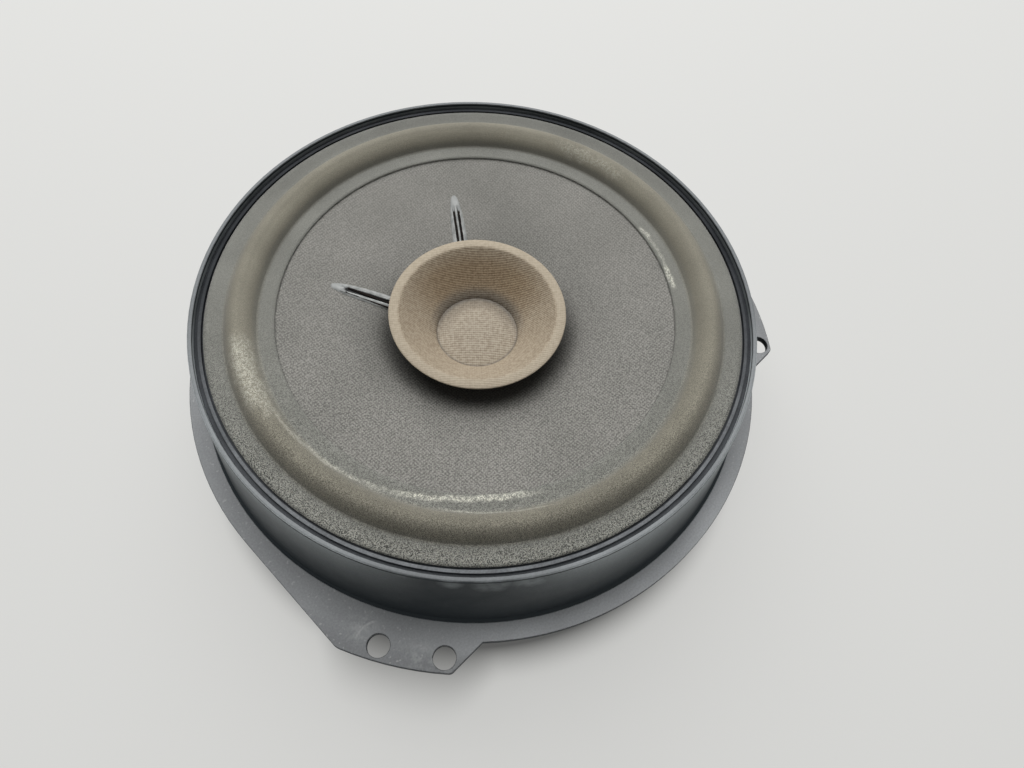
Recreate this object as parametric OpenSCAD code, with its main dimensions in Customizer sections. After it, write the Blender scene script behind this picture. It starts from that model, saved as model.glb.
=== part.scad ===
// Cone loudspeaker driver for a vehicle door: a moulded basket with a tall front wall and a rear flange,
// a rolled surround, a shallow cone with a whizzer cone, and a ferrite ring motor behind.
// Origin on the axis at the mounting plane, which is the flange's rear face. +Z points to the listener,
// and the basket is symmetric about the YZ plane, with its terminals on the +Y side.

/* [Front rim and wall] */
// Outer diameter of the front rim
rim_d = 165; // [158:0.5:172]
// Height of the rim's top above the mounting plane
rim_h = 33.5; // [31:0.5:40]
// Width of the flat on top of the rim
rim_land = 1.2; // [0.8:0.1:1.6]
// Outward lean of the wall, measured at its foot
wall_draft = 2.7; // [1.5:0.1:3.5]
// Thickness of the wall
wall_t = 2.2; // [1.8:0.1:2.8]
// Depth of the surround's outer flat below the rim's top
seat_depth = 1.3; // [1:0.1:2.2]
// Width of the ledge that carries the seat ring, from the wall inwards
ledge_w = 7.3; // [5:0.1:7.8]
// Thickness of that ledge
ledge_t = 2; // [1.5:0.1:3]

/* [Flange and fixing lugs] */
// Diameter of the round part of the flange
flange_d = 182.4; // [178:0.2:186]
// Thickness of the flange
flange_t = 2.2; // [1.8:0.1:3]
// Diameter across the fixing lugs
lug_d = 199; // [198.4:0.2:204]
// Rounding of a side lug's outer corner
lug_round = 4.5; // [3:0.5:5]
// Rounding of the corner where a side lug ends
lug_end_round = 1.8; // [1:0.2:2.4]
// Distance from the axis to the straight edge that ends both side lugs
lug_edge = 67; // [66.5:0.1:70]
// Width of the rear lug at its tip
rear_lug_w = 17; // [14:0.5:24]
// Diameter of the circle through the centres of all the fixing holes
hole_pcd = 191; // [190:0.2:191.6]
// Diameter of a fixing hole
hole_d = 6.4; // [4:0.1:6.6]
// Angle between the front centre line and each locating hole
locating_angle = 49; // [48.6:0.1:50]
// Width of the foam gasket in the flange's rear face
gasket_w = 4; // [3:0.1:5]
// Thickness of the gasket as squeezed flush with the flange
gasket_t = 0.9; // [0.6:0.1:1.2]

/* [Rear of the basket] */
// Thickness of the floor that carries the spokes
floor_t = 2.2; // [1.8:0.1:2.8]
// Drop of the floor from the flange down to the hub
floor_drop = 5; // [3:0.5:6]
// Inner radius of the windows
window_r1 = 46; // [45:0.5:52]
// Outer radius of the windows
window_r2 = 75; // [68:0.5:77]
// Width of a spoke
spoke_w = 11; // [8:0.5:16]
// Width of the solid panel that carries the terminals
panel_w = 28; // [27:0.5:32]
// Thickness of the rib under a spoke
rib_t = 2.6; // [2:0.1:4]
// Depth of that rib below the floor at the hub
rib_depth = 3.5; // [2:0.5:4.5]
// Height of the spider's seat above the mounting plane
seat_z = 5; // [4:0.5:7]
// Thickness of the hub's wall
hub_t = 2.4; // [2:0.1:3]
// Thickness of the hub's base
base_t = 2.8; // [2.2:0.1:3.5]
// Diameter of the opening in the hub's base
base_bore_d = 48; // [44:1:52]

/* [Motor] */
// Depth of the top plate's front face below the mounting plane
motor_drop = 6; // [6:0.5:8]
// Diameter of the top plate
top_plate_d = 76; // [72:1:80]
// Thickness of the top plate
top_plate_t = 5; // [4:0.5:6]
// Diameter of the magnet
magnet_d = 84; // [80:1:90]
// Diameter of the hole in the magnet
magnet_bore_d = 38; // [34:1:44]
// Thickness of the magnet
magnet_t = 13; // [12:0.5:18]
// Diameter of the back plate
back_plate_d = 76; // [70:1:80]
// Thickness of the back plate
back_plate_t = 5; // [4:0.5:6]
// Diameter of the pole piece's spigot in the back plate
spigot_d = 15; // [12:0.5:20]
// Diameter of a rivet shank between hub and top plate
rivet_d = 4; // [3:0.2:5]
// Diameter of the circle through the rivets
rivet_pcd = 60; // [58:0.5:62]
// Number of rivets
rivet_count = 3; // [3:1:6]

/* [Voice coil] */
// Inner diameter of the coil former
former_d = 25; // [24:0.1:26]
// Wall of the coil former
former_t = 0.3; // [0.2:0.05:0.4]
// Thickness of the winding
winding_t = 0.5; // [0.4:0.05:0.8]
// Height of the winding
winding_h = 12; // [9:0.5:14]
// Radial gap on each side of the coil
air_gap = 0.4; // [0.3:0.05:0.6]

/* [Surround, cone and spider] */
// Thickness of the surround's sheet
surround_t = 0.6; // [0.5:0.1:0.8]
// Width of the seat ring's margin between the surround and the wall
margin_w = 2.8; // [2.4:0.1:3.4]
// Height of the ridge on that margin above the basket's ledge
ridge_h = 1.9; // [1.6:0.1:2.4]
// Width of the surround's outer flat
outer_flat_w = 5.6; // [4.5:0.1:6.5]
// Drop from the outer flat to the inner flat
flat_step = 1.3; // [0.8:0.1:1.6]
// Width of the roll
roll_w = 8.9; // [7:0.1:10]
// Height of the roll above the inner flat
roll_h = 5; // [3:0.1:6]
// Width of the inner flat, glued to the cone's lip
inner_flat_w = 5; // [4:0.1:6]
// Depth of the cone from its lip down to its neck
cone_depth = 14.8; // [12:0.1:18]
// Outward bow of the cone's side at mid width
cone_bow = 1; // [0:0.1:2]
// Thickness of the cone's paper
cone_t = 0.8; // [0.6:0.1:1.2]
// Outer diameter of the spider
spider_d = 82; // [79:0.5:84]
// Thickness of the spider's cloth
spider_t = 0.5; // [0.4:0.1:0.8]
// Height of the spider's waves
wave_h = 1.3; // [0.8:0.1:1.8]
// Number of the spider's waves
wave_count = 5; // [3:1:7]

/* [Whizzer cone and dust cap] */
// Diameter over the whizzer cone's lip
whizzer_d = 53.2; // [44:0.2:60]
// Width of the whizzer cone's lip
lip_w = 3.2; // [2:0.1:4]
// Height of the lip above the cone's neck
whizzer_h = 13.3; // [10:0.1:16]
// Thickness of the whizzer cone
whizzer_t = 0.7; // [0.5:0.1:1]
// Rise of the dust cap at its middle
cap_rise = 1.8; // [1:0.1:3]
// Thickness of the dust cap
cap_t = 0.5; // [0.4:0.1:0.8]

/* [Leads and terminals] */
// Angle between the terminals' centre line and each glue bead on the cone
bead_angle = 34; // [28:0.5:40]
// Radius of the outer tip of a glue bead
bead_r = 47.5; // [44:0.5:50]
// Width of a glue bead at its widest
bead_w = 4.8; // [4:0.1:6]
// Height of a glue bead above the cone
bead_t = 0.9; // [0.7:0.1:1.4]
// Width of the square voice coil wire
wire_w = 0.6; // [0.5:0.05:0.8]
// Diameter of a braided lead
lead_d = 1.6; // [1.2:0.1:2]
// Width of the terminal housing
housing_w = 22; // [21:0.5:25]
// Depth of the terminal housing along the radius
housing_l = 15; // [13:0.5:17]
// Height of the terminal housing
housing_h = 11; // [9:0.5:12]
// Wall of the terminal housing
housing_t = 1.5; // [1.2:0.1:2]
// Distance from the axis to the middle of the terminals
terminal_y = 62.5; // [61:0.5:64]
// Distance between the two terminals
terminal_pitch = 9; // [8:0.5:11]
// Width of a terminal blade
blade_w = 4.8; // [4:0.1:6.3]
// Thickness of a terminal blade
blade_t = 0.8; // [0.6:0.1:1]

/* [Hidden] */
$fn = 96;
// Gap between pieces that are glued or slipped together
fit = 0.05;
// Overshoot of a cut past the face that it opens
cut = 1;
// Depth by which a joined form reaches into its neighbour
root = 2;
rim_r = rim_d / 2;
lip_r = rim_r - rim_land;
foot_r = rim_r + wall_draft;
flange_r = flange_d / 2;
lug_r = lug_d / 2;
hole_r = hole_pcd / 2;
flat_z = rim_h - seat_depth;
inner_flat_z = flat_z - flat_step;
ledge_z = inner_flat_z - surround_t;
wall_in_r = foot_r - wall_t;
ledge_in_r = lip_r - ledge_w;
edge_break = 0.3;
foot_chamfer = 1;
gusset = 3;
wall_top_t = 0.9;
floor_out_r = wall_in_r - 4;
// Outer side of the side lugs, past the fixing holes at 30 degrees below the X axis
hole_margin = 2;
lug_side = max(flange_r, hole_r * cos(30) + hole_d / 2 + hole_margin);

margin_in_r = lip_r - margin_w;
roll_out_r = margin_in_r - outer_flat_w;
roll_in_r = roll_out_r - roll_w;
cone_r = roll_in_r - inner_flat_w;
cone_lip_r = roll_in_r - 0.4;

former_r = former_d / 2 + former_t;
neck_r = former_r + fit;
neck_z = ledge_z - cone_depth;
winding_r = former_r + winding_t;
pole_r = former_d / 2 - air_gap;
gap_r = winding_r + air_gap;

seat_rim = 1;
seat_w = 6.5;
seat_t = 1.6;
hub_r = spider_d / 2 + seat_rim;
seat_r = hub_r - seat_w;
hub_wall_r = hub_r - 1;
base_r = top_plate_d / 2 + 2;
base_z = -motor_drop;
magnet_z = base_z - top_plate_t;
back_z = magnet_z - magnet_t;
rest_z = back_z - back_plate_t;
former_tail = 0.5;
former_bottom = base_z - (top_plate_t + winding_h) / 2 - former_tail;
former_top = neck_z + 0.8;

gasket_mid_r = (wall_in_r + flange_r) / 2 - 0.6;
panel_y1 = window_r1 - 1;
panel_y2 = window_r2 + 1;
panel_top = -floor_t / 2;
panel_z = -floor_drop + 0.4;
housing_z = panel_z - housing_h;
lug_top = 4;
lug_l = 7;
socket_top_t = 2;
wire_gap = 1.6;
bead_in_r = whizzer_d / 2 - 9;
slot_r = bead_r - 5;
lead_r = slot_r - 3;

// Height of the cone's front surface at radius r
function cone_top(r) =
  let (t = (r - neck_r) / (cone_r - neck_r))
  neck_z + cone_depth * t + cone_bow * 4 * t * (1 - t);

// Radii from a to b in n steps
function steps(a, b, n) = [for (i = [0:n]) a + (b - a) * i / n];

// A band of the given heights that lies on the cone, revolved between two radii
module cone_band(r1, r2, low, high) {
  rotate_extrude()
    polygon(concat(
      [for (r = steps(r1, r2, 16)) [r, cone_top(r) + low]],
      [for (r = steps(r2, r1, 16)) [r, cone_top(r) + high]]));
}

// A round tube swept along points that lie on a smooth route
function unit(v) = v / norm(v);
function ring(p, dir, r, sides) =
  let (side = unit(cross(dir, [1, 0, 0])), up = cross(side, dir))
  [for (k = [0:sides - 1]) let (a = 360 * k / sides) p + r * (cos(a) * side + sin(a) * up)];

module tube(points, d, sides) {
  last = len(points) - 1;
  dirs = [for (i = [0:last]) unit(points[min(i + 1, last)] - points[max(i - 1, 0)])];
  verts = [for (i = [0:last]) each ring(points[i], dirs[i], d / 2, sides)];
  walls = [for (i = [0:last - 1]) for (k = [0:sides - 1]) let (n = (k + 1) % sides)
    each [[i * sides + k, (i + 1) * sides + n, i * sides + n],
          [i * sides + k, (i + 1) * sides + k, (i + 1) * sides + n]]];
  caps = [[for (k = [0:sides - 1]) k], [for (k = [sides - 1:-1:0]) last * sides + k]];
  polyhedron(verts, concat(walls, caps));
}

// A point on the curve through four neighbours, at t from the second to the third
function spline(a, b, c, d, t) =
  0.5 * (2 * b + (c - a) * t + (2 * a - 5 * b + 4 * c - d) * t * t + (3 * b - a - 3 * c + d) * t * t * t);
function smooth(route, n) =
  let (last = len(route) - 1)
  concat([for (i = [0:last - 1]) for (j = [0:n - 1])
      spline(route[max(i - 1, 0)], route[i], route[i + 1], route[min(i + 2, last)], j / n)],
    [route[last]]);

// What lies outside a rounding of radius r about c, where an edge that faces side meets the lugs' arc
module corner_cut(c, r, side) {
  far = c * (lug_r + cut) / norm(c);
  edge = c + side * (r + cut);
  difference() {
    polygon([c, edge, side.x == 0 ? [far.x, edge.y] : [edge.x, far.y], far]);
    translate(c) circle(r = r);
  }
}

module side_lugs() {
  outer_x = lug_side - lug_round;
  outer_y = -sqrt(pow(lug_r - lug_round, 2) - outer_x * outer_x);
  end_y = lug_end_round - lug_edge;
  end_x = sqrt(pow(lug_r - lug_end_round, 2) - end_y * end_y);
  difference() {
    intersection() {
      circle(r = lug_r);
      translate([-lug_side, -lug_edge]) square([2 * lug_side, lug_edge]);
    }
    for (s = [-1, 1]) {
      corner_cut([s * outer_x, outer_y], lug_round, [s, 0]);
      corner_cut([s * end_x, end_y], lug_end_round, [0, -1]);
    }
  }
}

// Outline of the flange: a disc, two side lugs that end on one straight edge, and a rear lug
module flange_outline() {
  tip = rear_lug_w / 2;
  reach = lug_r - flange_r + root;
  circle(r = flange_r);
  side_lugs();
  intersection() {
    circle(r = lug_r);
    polygon([[-tip, lug_r], [-tip - reach, lug_r - reach], [tip + reach, lug_r - reach], [tip, lug_r]]);
  }
}

// The fixing holes: three evenly spaced, and two locating holes beside the front ones
module fixing_holes() {
  for (a = [90, 210, 330, 270 - locating_angle, 270 + locating_angle])
    rotate(a) translate([hole_r, 0, -cut]) cylinder(d = hole_d, h = flange_t + 2 * cut);
}

// Plan of the spokes and of the terminals' panel
module spokes_plan() {
  for (a = [30, 150, 210, 270, 330])
    rotate(a) translate([0, -spoke_w / 2]) square([window_r2 + root, spoke_w]);
  translate([-panel_w / 2, 0]) square([panel_w, window_r2 + root]);
}

// A rib under a spoke tapers from the hub out to the flange
module rib() {
  r1 = base_r - 1;
  tip_depth = 0.2;
  rotate([90, 0, 0]) linear_extrude(rib_t, center = true)
    polygon([[r1, -floor_drop - rib_depth], [r1, floor_t / 2 - floor_drop],
             [floor_out_r, floor_t / 2], [floor_out_r, -tip_depth]]);
}

// Wall, rim, ledge and flange are one moulding with the floor and the hub
module basket_ring() {
  rotate_extrude()
    polygon([
      [lip_r, rim_h], [rim_r - edge_break, rim_h], [rim_r, rim_h - edge_break],
      [foot_r, flange_t + foot_chamfer], [foot_r + foot_chamfer, flange_t], [foot_r + foot_chamfer, 0],
      [floor_out_r, 0], [floor_out_r, flange_t], [wall_in_r, flange_t],
      [lip_r - wall_top_t, ledge_z - ledge_t - gusset], [ledge_in_r, ledge_z - ledge_t],
      [ledge_in_r, ledge_z], [lip_r, ledge_z]]);
}

module basket_hub() {
  hub_in_r = hub_wall_r - hub_t;
  brow_z = seat_z - seat_t - 1.4;
  rotate_extrude()
    polygon([
      [base_bore_d / 2, base_z], [base_r, base_z], [hub_wall_r, -floor_drop], [hub_wall_r, brow_z],
      [hub_r, brow_z + 1], [hub_r, seat_z], [seat_r, seat_z], [seat_r, seat_z - seat_t],
      [hub_in_r, brow_z], [hub_in_r, base_z + base_t], [base_bore_d / 2, base_z + base_t]]);
}

module basket_floor() {
  r1 = hub_wall_r - 0.5;
  r2 = floor_out_r + 1;
  difference() {
    rotate_extrude()
      polygon([[r1, -floor_drop], [r2, 0], [r2, flange_t], [r1, floor_t - floor_drop]]);
    translate([0, 0, -floor_drop - cut]) linear_extrude(floor_drop + flange_t + 2 * cut)
      difference() {
        circle(r = window_r2);
        circle(r = window_r1);
        spokes_plan();
      }
  }
}

module basket() {
  color("#5b6266")
    difference() {
      union() {
        linear_extrude(flange_t) difference() {
          flange_outline();
          circle(r = wall_in_r - root);
        }
        basket_ring();
        basket_floor();
        basket_hub();
        for (a = [30, 150, 210, 270, 330]) rotate(a) rib();
        translate([-panel_w / 2 + 1, panel_y1, panel_z])
          cube([panel_w - 2, panel_y2 - panel_y1, panel_top - panel_z]);
      }
      fixing_holes();
      gasket_ring(fit);
      rivet_places() translate([0, 0, base_z - cut]) cylinder(d = rivet_d + 2 * fit, h = base_t + 2 * cut);
      blade_slots(panel_z - cut, flange_t - panel_z + 2 * cut);
    }
}

// The gasket's ring, or with extra the groove that holds it, which is cut from below the flange
module gasket_ring(extra) {
  low = extra > 0 ? -cut : 0;
  rotate_extrude()
    translate([gasket_mid_r - gasket_w / 2 - extra, low]) square([gasket_w + 2 * extra, gasket_t - low]);
}

module mounting_gasket() {
  color("#26282a") gasket_ring(0);
}

// The ring on the ledge carries the surround's outer flat, and its margin has a ridge between two grooves
module surround_seat_ring() {
  seat_top = flat_z - surround_t;
  seat_in_r = ledge_in_r + 1.5;
  groove_z = seat_top - 0.4;
  ridge_z = ledge_z + ridge_h;
  step_r = margin_in_r + 0.1;
  ridge_r1 = step_r + 0.5;
  ridge_r2 = ridge_r1 + 0.9;
  color("#2b2f33") rotate_extrude()
    polygon([[seat_in_r, ledge_z], [lip_r - fit, ledge_z], [lip_r - fit, groove_z], [ridge_r2 + 0.1, groove_z],
             [ridge_r2, ridge_z], [ridge_r1, ridge_z], [ridge_r1 - 0.1, groove_z], [step_r, groove_z],
             [step_r, seat_top], [seat_in_r, seat_top]]);
}

// Motor: two steel plates and a pole piece around a ferrite ring
module top_plate() {
  color("#8d9094") difference() {
    translate([0, 0, magnet_z]) cylinder(d = top_plate_d, h = top_plate_t);
    translate([0, 0, magnet_z - cut]) cylinder(r = gap_r, h = top_plate_t + 2 * cut);
    rivet_places() translate([0, 0, magnet_z - cut])
      cylinder(d = rivet_d + 2 * fit, h = top_plate_t + 2 * cut);
  }
}

module magnet() {
  r = magnet_d / 2;
  edge = 1;
  color("#3a3a3c") rotate_extrude()
    polygon([[magnet_bore_d / 2, back_z], [r - edge, back_z], [r, back_z + edge],
             [r, magnet_z - edge], [r - edge, magnet_z], [magnet_bore_d / 2, magnet_z]]);
}

module back_plate() {
  r = back_plate_d / 2;
  edge = 0.8;
  bore_r = spigot_d / 2 + fit;
  color("#8d9094") rotate_extrude()
    polygon([[bore_r, rest_z], [r - edge, rest_z], [r, rest_z + edge], [r, back_z], [bore_r, back_z]]);
}

// The pole ends a little above the top plate, and its spigot a little inside the back plate
module pole_piece() {
  edge = 0.5;
  low = rest_z + 0.5;
  top = base_z + 0.7;
  color("#9a9da0") rotate_extrude()
    polygon([[0, low], [spigot_d / 2, low], [spigot_d / 2, back_z], [pole_r, back_z],
             [pole_r, top - edge], [pole_r - edge, top], [0, top]]);
}

module rivet_places() {
  for (i = [0:rivet_count - 1])
    rotate(30 + i * 360 / rivet_count) translate([rivet_pcd / 2, 0, 0]) children();
}

module plate_rivets() {
  recess = 0.2;
  color("#a8abae") rivet_places() {
    translate([0, 0, magnet_z + recess]) cylinder(d = rivet_d, h = top_plate_t + base_t - recess);
    translate([0, 0, base_z + base_t]) cylinder(d1 = rivet_d * 1.75, d2 = rivet_d * 1.2, h = rivet_d * 0.35);
  }
}

// Voice coil
module coil_former() {
  color("#b98a52") rotate_extrude()
    translate([former_d / 2, former_bottom]) square([former_t, former_top - former_bottom]);
}

module coil_winding() {
  glue = 0.01;
  color("#b4683a") rotate_extrude()
    translate([former_r + glue, former_bottom + former_tail]) square([winding_t - glue, winding_h]);
}

// Suspension
module surround() {
  mid_r = (roll_out_r + roll_in_r) / 2;
  half = roll_w / 2;
  n = 24;
  edge_r = margin_in_r - fit;
  color("#6f6b5e") rotate_extrude(convexity = 6)
    polygon(concat(
      [[cone_r, ledge_z], [cone_r, inner_flat_z]],
      [for (i = [n:-1:0]) let (a = 180 * i / n) [mid_r + half * cos(a), roll_z(a)]],
      [[edge_r, flat_z], [edge_r, flat_z - surround_t]],
      [for (i = [0:n]) let (a = 180 * i / n) [mid_r + (half - surround_t) * cos(a), roll_z(a) - surround_t]]));
}

// Height of the roll's upper side at angle a, from 180 at the inner flat to 0 at the outer one
function roll_z(a) = inner_flat_z + flat_step * (1 + cos(a)) / 2 + (roll_h - flat_step / 2) * sin(a);

module spider() {
  wave_in = former_r + 2.5;
  wave_out = seat_r - 0.3;
  n = wave_count * 12;
  mid_z = seat_z + spider_t / 2;
  line = [for (i = [0:n]) [wave_in + (wave_out - wave_in) * i / n, wave_h * sin(360 * wave_count * i / n)]];
  color("#b9a05a") rotate_extrude(convexity = 20)
    polygon(concat(
      [[former_r + fit, mid_z + spider_t / 2]],
      [for (p = line) [p[0], mid_z + p[1] + spider_t / 2]],
      [[spider_d / 2, mid_z + spider_t / 2], [spider_d / 2, mid_z - spider_t / 2]],
      [for (i = [n:-1:0]) [line[i][0], mid_z + line[i][1] - spider_t / 2]],
      [[former_r + fit, mid_z - spider_t / 2]]));
}

// Cones
module cone() {
  side = steps(neck_r, cone_r, 24);
  back = steps(cone_r + 0.3, neck_r, 24);
  color("#85877d") difference() {
    rotate_extrude()
      polygon(concat(
        [for (r = side) [r, cone_top(r)]],
        [[cone_lip_r, ledge_z], [cone_lip_r, ledge_z - cone_t]],
        [for (r = back) [r, min(cone_top(r), ledge_z) - cone_t]]));
    for (s = [-1, 1]) lead_hole(s);
  }
}

module lead_hole(s) {
  rotate(90 + s * bead_angle) translate([lead_r, 0, neck_z - cone_t - cut])
    cylinder(d = lead_d + 0.2, h = cone_depth + cone_t + 2 * cut);
}

// The whizzer's foot is glued to the cone's neck, and its lip lies nearly flat
module whizzer_cone() {
  lip_z = neck_z + whizzer_h;
  outer = whizzer_d / 2;
  inner = outer - lip_w;
  foot_out_r = neck_r + 1.6;
  foot_z = former_top + 0.1;
  dip = 0.15;
  edge = 0.3;
  color("#c4b19a") rotate_extrude()
    polygon([
      [neck_r, cone_top(neck_r) + fit], [neck_r, foot_z], [inner, lip_z - dip], [outer - edge, lip_z],
      [outer, lip_z - edge], [outer, lip_z - whizzer_t], [inner + edge, lip_z - whizzer_t - dip],
      [neck_r + whizzer_t + edge, foot_z], [foot_out_r, cone_top(foot_out_r) + fit]]);
}

module dust_cap() {
  cap_r = former_r - fit;
  ball = (cap_r * cap_r + cap_rise * cap_rise) / (2 * cap_rise);
  span = asin(cap_r / ball);
  crown_z = former_top + fit + cap_rise;
  arc = [for (i = [0:12]) let (a = span * i / 12) [ball * sin(a), crown_z - ball * (1 - cos(a))]];
  color("#c2b099") rotate_extrude()
    polygon(concat([for (p = arc) p + [0, cap_t]], [for (i = [12:-1:0]) arc[i]]));
}

// Glue beads, wires and leads: s is 1 on the plus side and -1 on the minus side
module bead_plan() {
  n = 16;
  length = bead_r - bead_in_r;
  polygon(concat(
    [for (i = [0:n]) let (t = i / n) [bead_in_r + length * t, bead_half(t)]],
    [for (i = [n:-1:0]) let (t = i / n) [bead_in_r + length * t, -bead_half(t)]]));
}

// Half width of a bead at the share t of its length, widest near two thirds of the way in
function bead_half(t) = bead_w / 2 * (0.12 + 0.88 * sqrt(max(0, 1 - pow(max(0, (t - 0.45) / 0.55), 2))));

module wire_plan(width) {
  start = bead_in_r - 2.4;
  for (s = [-1, 1])
    translate([start, (s * wire_gap - width) / 2]) square([slot_r - start, width]);
}

module lead_bead(s) {
  color("#9a9c98") rotate(90 + s * bead_angle) intersection() {
    cone_band(bead_in_r - cut, bead_r + cut, fit, bead_t);
    linear_extrude(2 * rim_h) difference() {
      bead_plan();
      wire_plan(wire_w + 6 * fit);
    }
  }
}

module coil_tail(s) {
  color("#4a3a2c") rotate(90 + s * bead_angle) intersection() {
    cone_band(bead_in_r - 3, bead_r, fit, wire_w);
    linear_extrude(2 * rim_h) wire_plan(wire_w);
  }
}

// A lead leaves the cone's back, hangs in an easy curve and meets its terminal's lug
function lead_route(s) =
  let (a = 90 + s * bead_angle, x = lead_r * cos(a), y = lead_r * sin(a), top = cone_top(lead_r) - cone_t,
       tx = -s * terminal_pitch / 2)
  [[x, y, top - 0.1], [x, y + 0.5, top - 5], [x * 0.9, y + 5, top - 11], [x * 0.62, y + 12, top - 17],
   [tx - s * 0.9, terminal_y - lug_l - 1, lug_top + 1], [tx, terminal_y - lug_l + 2, lug_top + 0.9]];

module tinsel_lead(s) {
  color("#a9744a") tube(smooth(lead_route(s), 6), lead_d, 8);
}

// Terminals
module blade_slots(z, h) {
  w = blade_w + 4 * fit;
  t = blade_t + 4 * fit;
  for (s = [-1, 1])
    translate([s * terminal_pitch / 2 - w / 2, terminal_y - t / 2, z]) cube([w, t, h]);
}

module terminal_housing() {
  pocket_w = housing_w - 2 * housing_t;
  pocket_l = housing_l - 2 * housing_t;
  color("#4b5054") difference() {
    translate([-housing_w / 2, terminal_y - housing_l / 2, housing_z])
      cube([housing_w, housing_l, housing_h]);
    translate([-pocket_w / 2, terminal_y - pocket_l / 2, housing_z - cut])
      cube([pocket_w, pocket_l, housing_h - socket_top_t + cut]);
    blade_slots(panel_z - socket_top_t - cut, socket_top_t + 2 * cut);
  }
}

// A blade stands in the socket and passes the panel, and its lug bends towards the axis
module terminal(s) {
  tip_z = housing_z + 1;
  color("#c9b37a") translate([-s * terminal_pitch / 2, terminal_y, 0]) {
    translate([-blade_w / 2, -blade_t / 2, tip_z]) cube([blade_w, blade_t, lug_top - tip_z]);
    translate([-blade_w / 2, -lug_l, lug_top - blade_t]) cube([blade_w, lug_l, blade_t]);
  }
}

basket();
mounting_gasket();
surround_seat_ring();
top_plate();
magnet();
back_plate();
pole_piece();
plate_rivets();
terminal_housing();
terminal(1);  // terminal_plus
terminal(-1);  // terminal_minus
surround();
spider();
cone();
whizzer_cone();
dust_cap();
coil_former();
coil_winding();
lead_bead(1);  // lead_bead_plus
lead_bead(-1);  // lead_bead_minus
coil_tail(1);  // coil_tail_plus
coil_tail(-1);  // coil_tail_minus
tinsel_lead(1);  // tinsel_lead_plus
tinsel_lead(-1);  // tinsel_lead_minus
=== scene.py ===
import math

import bmesh
import bpy
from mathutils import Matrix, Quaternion, Vector, noise


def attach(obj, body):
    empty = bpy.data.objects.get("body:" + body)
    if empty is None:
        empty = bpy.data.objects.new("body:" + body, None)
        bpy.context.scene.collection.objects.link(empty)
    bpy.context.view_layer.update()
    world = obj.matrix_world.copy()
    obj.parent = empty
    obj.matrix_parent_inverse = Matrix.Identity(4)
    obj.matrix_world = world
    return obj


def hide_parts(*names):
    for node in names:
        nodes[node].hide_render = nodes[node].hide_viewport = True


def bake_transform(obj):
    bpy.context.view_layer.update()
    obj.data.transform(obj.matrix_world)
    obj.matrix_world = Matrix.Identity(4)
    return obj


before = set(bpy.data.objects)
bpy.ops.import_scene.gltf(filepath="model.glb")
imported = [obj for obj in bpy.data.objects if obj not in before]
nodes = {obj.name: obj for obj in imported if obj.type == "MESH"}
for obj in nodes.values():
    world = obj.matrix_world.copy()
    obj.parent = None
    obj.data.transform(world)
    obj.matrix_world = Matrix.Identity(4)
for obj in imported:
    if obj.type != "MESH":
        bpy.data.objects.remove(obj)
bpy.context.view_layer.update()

# Camera
# A 27 mm lens above the near edge, rolled a little about its own axis. It is matched to the ellipses of the
# rim, flange and whizzer cone.
lens = bpy.data.cameras.new("camera")
lens.sensor_width = 36
lens.lens = 27.0703
lens.clip_start = 0.01
camera = bpy.data.objects.new("camera", lens)
camera.location = (-0.090684, -0.090684, 0.221608)
aim = Vector((-0.012356, -0.026505, 0.0335)) - camera.location
roll = math.radians(6.410)
camera.rotation_mode = "QUATERNION"
camera.rotation_quaternion = aim.to_track_quat("-Z", "Y") @ Quaternion((0, 0, 1), roll)
bpy.context.collection.objects.link(camera)
bpy.context.scene.camera = camera


# Bench top and lights
# The driver lies on a white bench top. A wide soft lamp stands behind its far side, and the room gives
# the rest from above, fading towards the walls.
def linear(code):
    """An sRGB hex colour as linear RGBA."""
    parts = [int(code[i:i + 2], 16) / 255 for i in (1, 3, 5)]
    return tuple(c / 12.92 if c <= 0.04045 else ((c + 0.055) / 1.055) ** 2.4 for c in parts) + (1.0,)


def fill(tree, node, inputs):
    """Sets a node's inputs, and links those whose value comes from another node."""
    for key, value in inputs.items():
        if isinstance(value, bpy.types.NodeSocket):
            tree.links.new(value, node.inputs[key])
        else:
            node.inputs[key].default_value = value


def add(tree, kind, inputs=None, **settings):
    """Adds a node with its settings, and fills its inputs."""
    node = tree.nodes.new(kind)
    for name, value in settings.items():
        setattr(node, name, value)
    fill(tree, node, inputs or {})
    return node


def maths(tree, kind, first, second=0.0):
    """One sum on one or two values."""
    return add(tree, "ShaderNodeMath", {0: first, 1: second}, operation=kind).outputs[0]


def product(tree, first, *others):
    """Several values multiplied together."""
    for value in others:
        first = maths(tree, "MULTIPLY", first, value)
    return first


def spread(tree, value, start, end, low=0.0, high=1.0, smooth=False):
    """Stretches a value that runs from start to end, so that it runs from low to high and stops there."""
    kind = "SMOOTHSTEP" if smooth else "LINEAR"
    return add(tree, "ShaderNodeMapRange", {"Value": value, "From Min": start, "From Max": end, "To Min": low,
                                            "To Max": high}, interpolation_type=kind).outputs[0]


def by_share(tree, share, factor):
    """What to multiply by: 1 where the share is 0, and the factor where it is 1."""
    return spread(tree, share, 0.0, 1.0, 1.0, factor)


def material(name):
    """A new node material: its tree, its shader and the point shaded, in the object's own coordinates."""
    new = bpy.data.materials.new(name)
    new.use_nodes = True
    tree = new.node_tree
    place = add(tree, "ShaderNodeTexCoord").outputs["Object"]
    return new, tree, tree.nodes["Principled BSDF"], place


def seen_directly(tree):
    """1 for rays from the camera, and for those through glass or off a glossy face."""
    path = add(tree, "ShaderNodeLightPath").outputs
    first = maths(tree, "MAXIMUM", path["Is Camera Ray"], path["Is Glossy Ray"])
    return maths(tree, "MAXIMUM", first, path["Is Transmission Ray"])


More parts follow.
